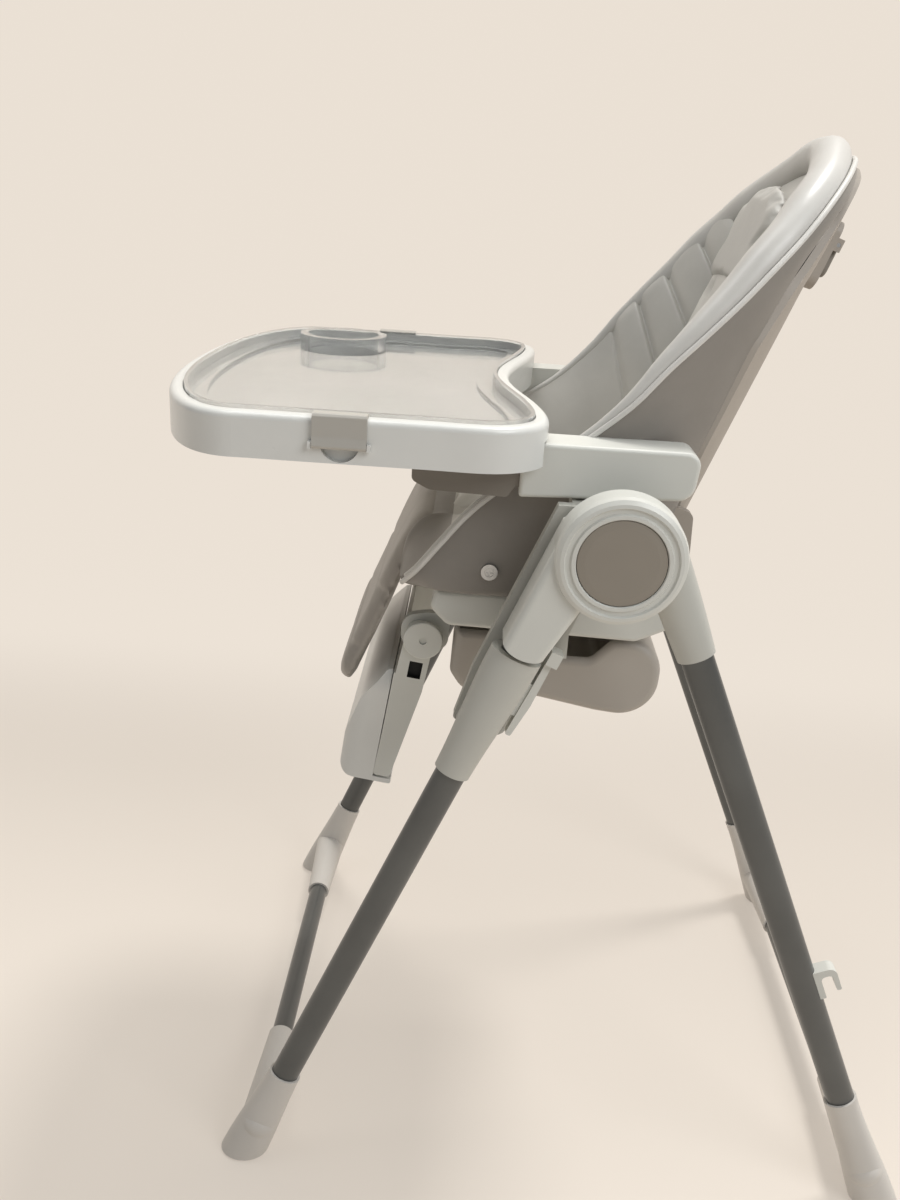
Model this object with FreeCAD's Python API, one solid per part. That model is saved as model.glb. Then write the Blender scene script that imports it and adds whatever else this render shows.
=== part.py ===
"""Folding baby high chair, modelled in millimetres.

Frame: +X is the chair's left side, +Y its back, +Z up. The origin is on the floor, under the middle of the
chair's box. Left-hand parts are built at positive X, and the right-hand ones are their mirror images.
"""

import os
from math import atan2, cos, degrees, radians, sin

import FreeCAD
import Part
from FreeCAD import Placement, Rotation, Vector

# ---------------------------------------------------------------- driving dimensions
LEG_X = 262.0  # plane of the leg tubes, each side of the middle
TUBE_U, TUBE_X, TUBE_WALL = 15.0, 11.0, 1.5  # half width and half depth of the oval leg tube, and its wall
CROSS_R = 12.0  # radius of the round cross tubes
CROSS_Z = 46.0  # height of the cross tubes' axes
CROSS_END = 255.0  # how far each cross tube reaches from the middle
CROSS_RIM = 140.0  # where the feet let go of the cross tubes
FIT = 0.1  # gap between pieces that are fastened together
RUN = 0.4  # gap between pieces that slide on each other

FRONT_FLOOR_Y, REAR_FLOOR_Y = -318.0, 388.4  # where the leg axes meet the floor
FRONT_TOP_Y, REAR_TOP_Y, HUB_Z = -20.0, 58.0, 735.0  # where they pass the hub's height
HUB_Y = 19.0
HUB_R = 57.0
HUB_INNER_X, HUB_OUTER_X = 247.0, 291.0
KNUCKLE_R, KNUCKLE_X = 52.0, (247.0, 257.0)
AXLE_R = 8.0
BUTTON_R, BUTTON_TRAVEL = 38.4, 5.0

PAD_T = 3.0  # rubber pad under each foot
FRONT_RIM_S, REAR_RIM_S = 124.0, 156.0  # how far up the leg each foot reaches

SLIDER_S = (548.0, 684.0)  # the seat slider's sleeve, along the front leg
ARM_END_S = 688.0  # lower end of the hub's arm, along the front leg
PLATE_X = (228.0, 240.0)  # the slider's upright plate, inside the hub

ARMREST_X, ARMREST_Z, ARMREST_Y = (182.0, 224.0), (768.0, 818.0), (-70.0, 88.0)
ARMREST_WALL = 5.0
SEAT_HALF = 170.0
PIVOT_Y, PIVOT_Z = 80.0, 672.0  # recline pivot
BACK_TILT = 19.4  # degrees from vertical
LEVER_PIN, LEVER_PIN_R = (27.2, 346.0), 2.0  # the recline handle's pin, in the backrest's own frame
LEGREST_Y, LEGREST_Z = -152.0, 584.0  # leg rest pivot
FLAP_HINGE = (-186.0, 597.0)  # fold line of the flap at the front of the cover
LEGREST_TILT = 8.0  # the leg rest hangs this far forward of vertical
LEGREST_HALF = 134.0

TRAY_HALF, TRAY_FRONT, TRAY_REAR = 268.0, -414.0, -48.0
TRAY_TOP, TRAY_DECK, TRAY_BOTTOM = 838.0, 825.0, 799.0
TRAY_SIDE_Y, TRAY_POWER = -315.0, 2.2  # where the sides meet the rounded front, and how square that front is
TRAY_CORNER, TRAY_SCOOP = 58.0, 34.0
CUP_X, CUP_Y, CUP_R = -170.0, -282.0, 46.0
CLIP_Y, CLIP_W = -224.0, 46.0
CLIP_PIN_Z, CLIP_PIN_R = 814.5, 1.5
ARM_REACH = 42.0  # how far back the tray's arms lie inside the armrests


# ---------------------------------------------------------------- shape helpers
def leg_frame(floor_y, top_y):
    """Placement whose local Z runs up a leg's axis from the floor, with local Y square to it, towards the back."""
    lean = degrees(atan2(top_y - floor_y, HUB_Z))
    return Placement(Vector(LEG_X, floor_y, 0), Rotation(Vector(1, 0, 0), -lean))


FRONT = leg_frame(FRONT_FLOOR_Y, FRONT_TOP_Y)
REAR = leg_frame(REAR_FLOOR_Y, REAR_TOP_Y)
HUB = Vector(0, HUB_Y, HUB_Z)
BACK = Placement(Vector(0, PIVOT_Y, PIVOT_Z), Rotation(Vector(1, 0, 0), -BACK_TILT))
LEGREST = Placement(Vector(0, LEGREST_Y, LEGREST_Z), Rotation(Vector(1, 0, 0), -LEGREST_TILT))


def placed(shape, placement):
    moved = shape.copy()
    moved.Placement = placement
    return moved


def local_hub(frame):
    """The hub's centre in a leg's own frame."""
    return frame.inverse().multVec(Vector(LEG_X, HUB_Y, HUB_Z))


def mirrored(shape):
    return shape.mirror(Vector(0, 0, 0), Vector(1, 0, 0))


def both(shape):
    return Part.makeCompound([shape, mirrored(shape)])


def box(x, y, z):
    """Box from three (low, high) pairs."""
    return Part.makeBox(x[1] - x[0], y[1] - y[0], z[1] - z[0], Vector(x[0], y[0], z[0]))


def rod(radius, x, y, z):
    """Cylinder along X between the two values of x, on the axis through (y, z)."""
    return Part.makeCylinder(radius, x[1] - x[0], Vector(x[0], y, z), Vector(1, 0, 0))


def rounded_wire(points, radius, lift):
    """Closed outline through 2-D points with each corner rounded; radius is one value or one for each corner."""
    radii = radius if isinstance(radius, (list, tuple)) else [radius] * len(points)
    flat = [Vector(a, b, 0) for a, b in points]
    starts, ends, mids = [], [], []
    for i, corner in enumerate(flat):
        back = (flat[i - 1] - corner).normalize()
        ahead = (flat[(i + 1) % len(flat)] - corner).normalize()
        half = back.getAngle(ahead) / 2
        if radii[i] == 0 or half > radians(89.5):
            starts.append(corner)
            ends.append(corner)
            mids.append(None)
            continue
        reach = radii[i] * cos(half) / sin(half)
        bisector = (back + ahead).normalize()
        centre = corner + bisector * (radii[i] / sin(half))
        starts.append(corner + back * reach)
        ends.append(corner + ahead * reach)
        mids.append(centre - bisector * radii[i])
    edges = []
    for i in range(len(flat)):
        if mids[i] is not None:
            edges.append(Part.Arc(*[lift(p) for p in (starts[i], mids[i], ends[i])]).toShape())
        following = starts[(i + 1) % len(flat)]
        if (following - ends[i]).Length > 1e-6:
            edges.append(Part.LineSegment(lift(ends[i]), lift(following)).toShape())
    return Part.Wire(edges)


def side_prism(points, radius, x):
    """Outline in (Y, Z), with rounded corners, drawn along X between the two values of x."""
    wire = rounded_wire(points, radius, lambda p: Vector(x[0], p.x, p.y))
    return Part.Face(wire).extrude(Vector(x[1] - x[0], 0, 0))


def plan_prism(points, radius, z):
    """Outline in (X, Y), with rounded corners, drawn up between the two values of z."""
    wire = rounded_wire(points, radius, lambda p: Vector(p.x, p.y, z[0]))
    return Part.Face(wire).extrude(Vector(0, 0, z[1] - z[0]))


def front_prism(points, radius, y):
    """Outline in (X, Z), with rounded corners, drawn along Y between the two values of y."""
    wire = rounded_wire(points, radius, lambda p: Vector(p.x, y[0], p.y))
    return Part.Face(wire).extrude(Vector(0, y[1] - y[0], 0))


def oval(half_x, half_u, s, u=0.0):
    """Oval section square to local Z at height s, as a wire."""
    long_u = half_u >= half_x
    a, b = (half_u, half_x) if long_u else (half_x, half_u)
    ring = Part.Ellipse(Vector(0, 0, 0), a, b).toShape()
    turn = Rotation(Vector(0, 0, 1), 90 if long_u else 0)
    ring.Placement = Placement(Vector(0, u, s), turn)
    return Part.Wire([ring])


def oval_bar(half_x, half_u, s):
    return Part.Face(oval(half_x, half_u, s[0])).extrude(Vector(0, 0, s[1] - s[0]))


def oval_loft(sections):
    """Smooth solid through oval sections, each (half_x, half_u, s, u)."""
    return Part.makeLoft([oval(*section) for section in sections], True, False)


def smoothed(shape, radius, chosen):
    """Fillets the edges for which chosen(edge) is true."""
    return shape.makeFillet(radius, [e for e in shape.Edges if chosen(e)])


def along(edge, axis):
    """True for a straight edge parallel to an axis."""
    ends = [v.Point for v in edge.Vertexes]
    if len(ends) < 2 or not isinstance(edge.Curve, (Part.Line, Part.LineSegment)):
        return False
    return abs((ends[1] - ends[0]).normalize().dot(axis)) > 0.999


# ---------------------------------------------------------------- legs, feet and cross tubes
def leg_tube(frame, top_s):
    """Oval steel tube from just above the cross tube to just below the hub."""
    start = CROSS_Z + CROSS_R + 6
    outer = oval_bar(TUBE_X, TUBE_U, (start, top_s))
    inner = oval_bar(TUBE_X - TUBE_WALL, TUBE_U - TUBE_WALL, (start - 1, top_s + 1))
    return placed(outer.cut(inner), frame)


def cross_tube(y):
    ends = (-CROSS_END, CROSS_END)
    return rod(CROSS_R, ends, y, CROSS_Z).cut(rod(CROSS_R - TUBE_WALL, (ends[0] - 1, ends[1] + 1), y, CROSS_Z))


def cross_y(floor_y, top_y):
    """The cross tube's axis lies on the leg's axis."""
    return floor_y + (top_y - floor_y) * CROSS_Z / HUB_Z


def foot(frame, floor_y, top_y, rim_s):
    """Boot that takes the leg from above and the cross tube from the inside."""
    boot = oval_loft([(21, 24.5, -16, 0), (20, 23.5, 30, 0), (16, 19.5, 85, 0), (13.4, 17.4, rim_s, 0)])
    boot = placed(boot, frame)
    y = cross_y(floor_y, top_y)
    reach = LEG_X - CROSS_RIM
    arm = Part.makeCone(15, 21, reach, Vector(CROSS_RIM, y, CROSS_Z), Vector(1, 0, 0))
    heel = Part.makeSphere(21, Vector(LEG_X, y, CROSS_Z))
    body = boot.fuse([arm, heel]).removeSplitter()
    body = body.cut(box((0, 400), (-500, 500), (-60, PAD_T)))
    bore = placed(oval_bar(TUBE_X + FIT, TUBE_U + FIT, (CROSS_Z + CROSS_R + 6 - FIT, rim_s + 10)), frame)
    socket = rod(CROSS_R + FIT, (CROSS_RIM - 10, CROSS_END + FIT), y, CROSS_Z)
    return body.cut(bore).cut(socket)


def foot_pad(frame):
    low = oval_loft([(17, 20, -16, 0), (16, 19, 30, 0)])
    return placed(low, frame).common(box((0, 400), (-500, 500), (0, PAD_T)))


def tray_hook():
    """Hook on the back of a rear leg, where the tray hangs when it isn't in use."""
    near, far = TUBE_U + 3, TUBE_U + 20
    side = [(TUBE_U - 6, 298), (near, 298), (near, 324), (far - 5, 324), (far - 5, 304), (far, 304), (far, 332),
            (TUBE_U - 6, 332)]
    hook = side_prism(side, [1, 1, 5, 4, 2, 2, 8, 1], (-7, 7))
    return placed(hook.cut(oval_bar(TUBE_X + FIT, TUBE_U + FIT, (280, 350))), REAR)


# ---------------------------------------------------------------- hubs
def hub_housing():
    """Round housing with the arm that grips the top of the front leg."""
    profile = [(0, 257.5), (HUB_R - 3, 257.5), (HUB_R, 261), (HUB_R, HUB_OUTER_X - 8), (HUB_R - 1.5, HUB_OUTER_X - 3),
               (HUB_R - 5, HUB_OUTER_X - 0.5), (HUB_R - 8, HUB_OUTER_X), (HUB_R - 9.5, HUB_OUTER_X - 2),
               (HUB_R - 13, HUB_OUTER_X - 2), (HUB_R - 14.5, HUB_OUTER_X), (BUTTON_R + 1.2, HUB_OUTER_X),
               (BUTTON_R + 0.4, HUB_OUTER_X - 1), (BUTTON_R + 0.4, 271), (0, 271)]
    wire = Part.makePolygon([Vector(x, r, 0) for r, x in profile] + [Vector(profile[0][1], 0, 0)])
    disc = Part.Face(wire).revolve(Vector(0, 0, 0), Vector(1, 0, 0), 360)
    disc.translate(HUB)
    end = local_hub(FRONT)
    arm = front_leg_arm(end)
    body = disc.fuse(arm).removeSplitter()
    body = body.cut(rod(KNUCKLE_R + 1.0, (230, 257.5), HUB_Y, HUB_Z))
    body = body.cut(rod(BUTTON_R + 0.4, (271, 300), HUB_Y, HUB_Z))
    body = body.cut(placed(oval_bar(TUBE_X + FIT, TUBE_U + FIT, (600, front_tube_top() + FIT)), FRONT))
    return body.cut(rod(AXLE_R + FIT, (250, 272), HUB_Y, HUB_Z))


def front_leg_arm(hub):
    """The arm in the front leg's frame: a rounded bar whose lower end is a shallow arc."""
    side = [(-19, ARM_END_S - 6), (19, ARM_END_S - 6), (30, hub.z - 40), (36, hub.z + 6), (-19, hub.z + 6)]
    bar = side_prism(side, [3, 3, 12, 10, 3], (HUB_INNER_X - LEG_X, 22))
    bar = smoothed(bar, 7, lambda e: along(e, Vector(0, 0, 1)) and abs(e.CenterOfMass.x - 22) < 1)
    arc = Part.makeCylinder(34, 60, Vector(-30, 0, ARM_END_S + 34), Vector(1, 0, 0))
    tall = box((-30, 30), (-40, 60), (ARM_END_S + 34, hub.z + 40))
    return placed(bar.common(arc.fuse(tall)), FRONT)


def front_tube_top():
    """The front tube stops just short of the rear leg's knuckle."""
    hub = local_hub(FRONT)
    return hub.z - ((KNUCKLE_R + 2) ** 2 - (abs(hub.y) - TUBE_U) ** 2) ** 0.5


def rear_tube_top():
    """The rear tube stops just outside the hub housing."""
    hub = local_hub(REAR)
    return hub.z - ((HUB_R + 3) ** 2 - (abs(hub.y) - TUBE_U) ** 2) ** 0.5


def hub_axle():
    """Headed pin through the housing and the rear leg's knuckle, with a washer face inside."""
    pin = rod(AXLE_R, (243.5, 270), HUB_Y, HUB_Z)
    return pin.fuse(rod(15, (241.5, 246.6), HUB_Y, HUB_Z)).removeSplitter()


def rear_sleeve():
    """Sleeve on the top of the rear leg, with the knuckle that turns on the hub axle."""
    hub = local_hub(REAR)
    top = hub.z - 6
    low = 706.0
    sleeve = placed(oval_loft([(13.6, 17.6, low, 0), (16, 20, low + 50, 0), (15, 21, top, 0)]), REAR)
    knuckle = rod(KNUCKLE_R, KNUCKLE_X, HUB_Y, HUB_Z)
    sleeve = sleeve.cut(rod(HUB_R + 1.2, (KNUCKLE_X[1], 300), HUB_Y, HUB_Z))
    sleeve = sleeve.cut(box((200, KNUCKLE_X[0]), (-100, 300), (500, 900)))
    body = sleeve.fuse(knuckle).removeSplitter()
    body = body.cut(placed(oval_bar(TUBE_X + FIT, TUBE_U + FIT, (600, rear_tube_top() + FIT)), REAR))
    return body.cut(rod(AXLE_R + 0.05, (240, 260), HUB_Y, HUB_Z))


def fold_button():
    """Round release button in the hub: a shallow domed cup."""
    low, high = 277.0, HUB_OUTER_X - 0.5
    cap = rod(BUTTON_R, (low, high), HUB_Y, HUB_Z)
    dome = Part.makeSphere(330, Vector(high + 1.5 - 330, HUB_Y, HUB_Z))
    cap = cap.common(dome)
    cap = smoothed(cap, 1.0, lambda e: e.CenterOfMass.x > high - 3)
    return cap.cut(rod(BUTTON_R - 3, (low - 1, high - 5), HUB_Y, HUB_Z))


# ---------------------------------------------------------------- seat height sliders
def seat_slider():
    """Sleeve that runs on the front leg, and the upright plate that carries the armrest and the seat."""
    low, high = SLIDER_S
    sleeve = oval_loft([(14.4, 17.8, low, 0), (15.5, 19, low + 30, 0), (18, 23.5, low + 95, 0), (19, 24.5, high, 0)])
    side = [(-20, low + 40), (30, low + 40), (40, high), (34, 832), (-26, 832), (-26, high - 40)]
    plate = side_prism(side, [4, 12, 12, 4, 6, 20], (PLATE_X[0] - LEG_X, PLATE_X[1] - LEG_X))
    web = box((PLATE_X[0] - LEG_X, -10), (-18, 10), (low + 45, high - 26))
    body = placed(sleeve.fuse([plate, web]).removeSplitter(), FRONT)
    shelf = box((ARMREST_X[0] + 6, PLATE_X[1]), (-22, 46), (ARMREST_Z[0] - 12, ARMREST_Z[0] - FIT))
    lug = box((SEAT_HALF + FIT, PLATE_X[1]), (-70, -14), (622, 646))
    trim = box((150, PLATE_X[1]), (-200, 200), (ARMREST_Z[0] - FIT, 900))
    body = body.cut(trim).fuse([shelf, lug]).removeSplitter()
    bore = placed(oval_bar(TUBE_X + RUN, TUBE_U + RUN, (low - 10, 760)), FRONT)
    return body.cut(arm_scoop()).cut(bore).cut(lever_pocket())


def arm_scoop():
    """Opening in the slider's top that clears the hub's arm and leaves the upright plate alone."""
    arc = Part.makeCylinder(38, 80, Vector(-40, 0, ARM_END_S + 34), Vector(1, 0, 0))
    roof = box((-40, 40), (-60, 60), (ARM_END_S + 30, 800))
    hollow = placed(arc.fuse(roof), FRONT)
    return hollow.common(box((PLATE_X[1], 400), (-400, 400), (0, 1000)))


def height_lever():
    """Long press bar behind the slider, with its square finger pad and the stem that guides it."""
    strip = side_prism([(27.4, 604), (33, 604), (36, 640), (35, 690), (28.5, 690), (28.4, 650)],
                       [2, 2, 8, 2, 2, 8], (-13, -3))
    pad = box((-14, 2), (27.6, 39), (686, 700))
    stem = box((-11, -5), (21, 31), (624, 660))
    return placed(strip.fuse([pad, stem]).removeSplitter(), FRONT)


def lever_pocket():
    """Pocket in the slider for the press bar's stem."""
    return placed(box((-11 - RUN, -5 + RUN), (17.6, 40), (624 - RUN, 660 + RUN)), FRONT)


# ---------------------------------------------------------------- seat
def seat_pan():
    """Moulded pan under the seat, hollow from below, with cheeks for the recline and leg rest pivots."""
    side = [(-140, 654), (-146, 634), (-128, 616), (60, 612), (100, 632), (104, 654)]
    outer = side_prism(side, [3, 10, 12, 16, 12, 3], (-SEAT_HALF, SEAT_HALF))
    outer = smoothed(outer, 6, lambda e: e.CenterOfMass.z < 640 and abs(abs(e.CenterOfMass.x) - SEAT_HALF) < 0.5)
    inner = box((-SEAT_HALF + 5, SEAT_HALF - 5), (-128, 92), (600, 648))
    cheek = side_prism([(58, 640), (100, 640), (98, 688), (62, 688)], [2, 2, 17, 17], (155, 163))
    cheek = cheek.cut(rod(6.05, (140, 175), PIVOT_Y, PIVOT_Z))
    return outer.cut(inner).fuse([cheek, mirrored(cheek)]).removeSplitter()


def legrest_bracket():
    """Plate that hangs from inside the pan's front and holds the leg rest's pivot."""
    side = [(-127.8, 640), (-98, 640), (-98, 607), (-125.5, 605), (-127, 566), (-176, 566), (-176, 604), (-150, 609),
            (-127.8, 609)]
    plate = side_prism(side, [2, 2, 2, 4, 16, 17, 17, 6, 0], (112, 121.5))
    return plate.cut(rod(6.05, (100, 130), LEGREST_Y, LEGREST_Z))


def armrest():
    """Hollow armrest, open at the front for the tray's arm."""
    low, high = ARMREST_Z
    side = [(ARMREST_Y[0], low), (ARMREST_Y[1] - 4, low + 6), (ARMREST_Y[1], high), (ARMREST_Y[0], high)]
    body = side_prism(side, [3, 16, 13, 3], ARMREST_X)
    body = smoothed(body, 4, lambda e: e.CenterOfMass.z > high - 3 and e.CenterOfMass.y < 80 and not
                    along(e, Vector(1, 0, 0)) and abs(e.CenterOfMass.x - 200) > 20)
    w = ARMREST_WALL
    bore = box((ARMREST_X[0] + w, ARMREST_X[1] - w), (ARMREST_Y[0] - 5, 62), (low + w + 2, high - w))
    return body.cut(bore)


def seat_cushion():
    side = [(-155, 662), (-156, 690), (-142, 716), (20, 694), (52, 690), (56, 654.1), (-138, 654.1)]
    return side_prism(side, [4, 14, 14, 60, 8, 6, 4], (-SEAT_HALF, SEAT_HALF))


def front_roll():
    """The cover's front end, which turns down over the front of the pan."""
    side = [(-156.5, 640), (-157, 708), (-164, 708), (-186, 640), (-191, 606), (-181, 606)]
    return side_prism(side, [6, 2, 3, 60, 4, 4], (-140, 140))


def seat_wing():
    """Side of the seat cover, below and inside the armrest."""
    side = [(-150, 650), (-154, 678), (-94, 756), (-18, 815), (40, 815), (52, 740), (56, 650)]
    return side_prism(side, [5, 8, 30, 12, 16, 20, 4], (SEAT_HALF + FIT, ARMREST_X[0] - FIT))


def crotch_strap():
    return side_prism([(-94, 710.2), (-60, 705.6), (-62, 752), (-74, 752)], [1, 1, 2, 2], (-16, 16))


def harness_buckle():
    body = side_prism([(-82, 753), (-56, 753), (-62, 792), (-74, 792)], [5, 5, 6, 6], (-24, 24))
    return smoothed(body, 3, lambda e: abs(abs(e.CenterOfMass.x) - 24) < 0.1)


def lap_strap():
    """Flat strap from the seat's side to the buckle."""
    ends = [(160, 30, 708), (96, -30, 742), (30, -66, 768)]
    half_wide = Vector(0, 4, 12)
    thick = Vector(0, -2.2, 0.8)
    runs = []
    for a, b in zip(ends, ends[1:]):
        a, b = Vector(*a), Vector(*b)
        face = Part.Face(Part.makePolygon([a - half_wide, b - half_wide, b + half_wide, a + half_wide, a - half_wide]))
        runs.append(face.extrude(thick))
    return runs[0].fuse(runs[1]).removeSplitter()


def storage_basket():
    """Tub under the seat, with a fat rolled lip at the back and hangers up to the pan."""
    side = [(-118, 604), (-123, 556), (-108, 534), (-30, 533), (30, 522), (92, 516), (94, 606), (40, 604), (20, 582),
            (-20, 582), (-34, 604)]
    rounds = [4, 14, 22, 40, 60, 40, 36, 14, 12, 12, 4]
    tub = side_prism(side, rounds, (-150, 150))
    tub = smoothed(tub, 9, lambda e: abs(abs(e.CenterOfMass.x) - 150) < 0.1 and e.CenterOfMass.z < 560)
    inside = [(-112.5, 640), (-116.5, 560), (-102, 541), (-28, 539.5), (30, 529), (46, 529), (46, 640)]
    tub = tub.cut(side_prism(inside, [2, 12, 16, 34, 30, 10, 2], (-144, 144)))
    hollow = side_prism([(51, 528), (84, 526), (88, 598), (54, 596)], [12, 18, 18, 8], (-144, 144))
    hanger = side_prism([(-40, 596), (-14, 578), (-14, 611.5), (-40, 611.5)], [2, 2, 2, 2], (144.5, 150))
    rim = side_prism([(-118, 597), (-107, 597), (-107, 611.5), (-118, 611.5)], 2, (-108, 108))
    return tub.cut(hollow).fuse([hanger, mirrored(hanger), rim]).removeSplitter()


def cover_screw():
    """Screw in a cup washer that holds the cover to the seat's side."""
    y, z = -90.0, 681.0
    face = ARMREST_X[0]
    ring = rod(8, (face, face + 3), y, z).cut(rod(4.5, (face + 1.5, face + 5), y, z))
    head = rod(4.3, (face + 1.4, face + 2.6), y, z)
    slot = box((face + 2, face + 3), (y - 0.7, y + 0.7), (z - 3.4, z + 3.4))
    cross = box((face + 2, face + 3), (y - 3.4, y + 3.4), (z - 0.7, z + 0.7))
    return ring.fuse(head.cut(slot.fuse(cross))).removeSplitter()


def pivot_pin(y, z, x):
    return rod(6.0, x, y, z)


# ---------------------------------------------------------------- backrest, in its own tilted frame
BACK_OUTLINE = [(-150, 34), (150, 34), (166, 130), (166, 236), (150, 318), (112, 386), (64, 430), (0, 448), (-64, 430),
                (-112, 386), (-150, 318), (-166, 236), (-166, 130)]
BACK_ROUNDS = [24, 24, 60, 60, 60, 60, 60, 60, 60, 60, 60, 60, 60]
SHELL_DROP = 14.0  # how far the shell's top stays below the padding's
SHELL_REAR, SHELL_R, SHELL_T = 20.0, 278.0, 4.0  # the shell's rearmost depth, its curve and its thickness
WING_REAR, WING_X = -32.0, (150.0, 162.0)
WING_STATIONS = [(129, 150, 150, -126), (144, 149, 184, -117), (178, 147, 182, -102), (217, 145, 170, -83),
                 (301, 135, 141, -46), (345, 114, 115, -36)]  # height, rear edge, front edge and its depth


def back_slab(y, shrink, base=34.0, lower=0.0):
    """Slab of the backrest's outline between two depths, drawn in by shrink, and lower at the top by a bit more."""
    outline = []
    for x, z in BACK_OUTLINE:
        side = (x > 0) - (x < 0)
        outline.append((x - side * shrink, base if z < 40 else z - (shrink + lower) * (z > 300)))
    return front_prism(outline, BACK_ROUNDS, y)


def back_curve(radius):
    """Upright cylinder whose rear is the curve of the shell."""
    return Part.makeCylinder(radius, 600, Vector(0, SHELL_REAR - SHELL_R, -100))


def back_shell():
    """Moulded back, curved forward at the sides, with a raised border and the two lugs of the recline hinge."""
    panel = back_curve(SHELL_R).cut(back_curve(SHELL_R - SHELL_T)).common(back_slab((-60, 60), 12, 34, SHELL_DROP))
    border = back_curve(SHELL_R + 2.5).cut(back_curve(SHELL_R - 1))
    border = border.common(back_slab((-60, 60), 12, 34, SHELL_DROP)).cut(back_slab((-80, 80), 26, 48, SHELL_DROP))
    side = [(-14, -12), (14, -12), (14, 30), (-4, 74), (-30, 74), (-30, 40), (-14, 18)]
    lug = side_prism(side, [12, 12, 20, 8, 2, 8, 8], (142, 154)).cut(back_curve(SHELL_R - SHELL_T).common(
        box((0, 300), (-100, 100), (30, 500))))
    lug = lug.cut(rod(6.05, (130, 170), 0, 0))
    body = panel.fuse([border, lug, mirrored(lug)]).removeSplitter()
    return placed(body, BACK)


def back_cushion():
    pad = back_slab((-40, 60), 24, 46).common(back_curve(SHELL_R - SHELL_T - FIT))
    return placed(pad, BACK)


def head_pad():
    pad = front_prism([(-62, 262), (62, 262), (82, 330), (58, 396), (-58, 396), (-82, 330)], [20, 20, 60, 40, 40, 60],
                      (-52, -40.1))
    return placed(pad, BACK)


def back_wing():
    """Side of the cover that moves with the backrest; above the armrest it flares outwards."""
    side = [(WING_REAR, 70), (WING_REAR, 129), (-126, 129), (-137, 100), (-80, 78)]
    low = side_prism(side, [4, 0, 0, 10, 30], WING_X)
    sections = [wing_section(*station) for station in WING_STATIONS]
    high = Part.makeLoft(sections, True, True)
    return placed(low.fuse(high).removeSplitter(), BACK)


def wing_section(z, rear_x, front_x, front_y):
    """Section of the wing at height z, from its rear edge to its front edge."""
    thick = WING_X[1] - WING_X[0]
    corners = [(rear_x, WING_REAR), (rear_x + thick, WING_REAR), (front_x + thick, front_y), (front_x, front_y)]
    points = [Vector(x, y, z) for x, y in corners]
    return Part.makePolygon(points + points[:1])


def recline_lever():
    """Squeeze handle on the upper back that frees the recline lock."""
    body = front_prism([(-50, 314), (50, 314), (47, 352), (-47, 352)], [8, 8, 3, 3], (23, 31))
    body = smoothed(body, 2.0, lambda e: abs(e.CenterOfMass.y - 31) < 0.1)
    return placed(body.cut(rod(LEVER_PIN_R + 0.05, (-60, 60), *LEVER_PIN)), BACK)


def lever_pin():
    return placed(rod(LEVER_PIN_R, (-54, 54), *LEVER_PIN), BACK)


def recline_bezel():
    """Frame on the shell that the recline handle pivots in."""
    frame = front_prism([(-64, 300), (64, 300), (60, 366), (-60, 366)], 12, (5, 22.5))
    frame = frame.cut(front_prism([(-52, 308), (52, 308), (49, 357), (-49, 357)], 6, (20.9, 30)))
    ear = box((50.4, 54.4), (21, 31), (340, 352)).cut(rod(LEVER_PIN_R + 0.02, (50, 60), *LEVER_PIN))
    frame = frame.fuse([ear, mirrored(ear)]).cut(back_curve(SHELL_R + FIT))
    return placed(frame.removeSplitter(), BACK)


# ---------------------------------------------------------------- leg rest and foot rest, in their own frame
def legrest_frame():
    """U-shaped leg rest: a front panel between two side arms that turn on the bracket pins."""
    arm = side_prism([(-18, 16), (12, 16), (10, -60), (-6, -170), (-24, -170), (-22, -60)], [14, 14, 20, 4, 4, 20],
                     (122.5, LEGREST_HALF))
    arm = arm.cut(rod(6.05, (120, 140), 0, 0))
    window = box((128, 140), (-9, 5), (-46, -27))
    panel = box((-LEGREST_HALF, LEGREST_HALF), (-23, -18), (-168, -44))
    return placed(arm.cut(window).fuse([mirrored(arm.cut(window)), panel]).removeSplitter(), LEGREST)


def legrest_cap():
    """Round cap on each leg rest pivot."""
    cap = rod(20.5, (LEGREST_HALF + FIT, LEGREST_HALF + 5), 0, 0).cut(rod(4, (LEGREST_HALF + 3, 150), 0, 0))
    cap = smoothed(cap, 1.6, lambda e: abs(e.CenterOfMass.x - LEGREST_HALF - 5) < 0.1 and e.Length > 60)
    return placed(cap, LEGREST)


def footrest():
    """Convex foot rest with a step at its lower end; it slides down the front of the leg rest."""
    side = [(-24, -44), (-30, -46), (-52, -80), (-63, -130), (-62, -178), (-2, -178), (-4, -172.5), (-24, -172.5)]
    body = side_prism(side, [1, 4, 40, 60, 12, 3, 1, 1], (-LEGREST_HALF, LEGREST_HALF))
    half = LEGREST_HALF
    body = body.common(front_prism([(-half, -200), (half, -200), (half, -30), (-half, -30)], [24, 24, 40, 40], (-90, 10)))
    body = body.common(plan_prism([(-half, -64), (half, -64), (half, 10), (-half, 10)], [22, 22, 0, 0], (-200, 0)))
    hollow = side_prism([(-20, -60), (-34, -66), (-50, -92), (-57, -132), (-56, -170), (-20, -170)],
                        [1, 6, 30, 40, 8, 1], (-half + 9, half - 9))
    return placed(body.cut(hollow), LEGREST)


def calf_pad():
    """Flap at the front of the cover, which hangs over the foot rest and rises with the leg rest."""
    y, z = FLAP_HINGE
    side = [(y - 5, z + 4), (y + 4, z + 4), (y + 4, z - 6), (y - 20, z - 50), (y - 57, z - 94), (y - 62, z - 86)]
    return side_prism(side, [4, 4, 10, 30, 3, 3], (-128, 128))


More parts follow.
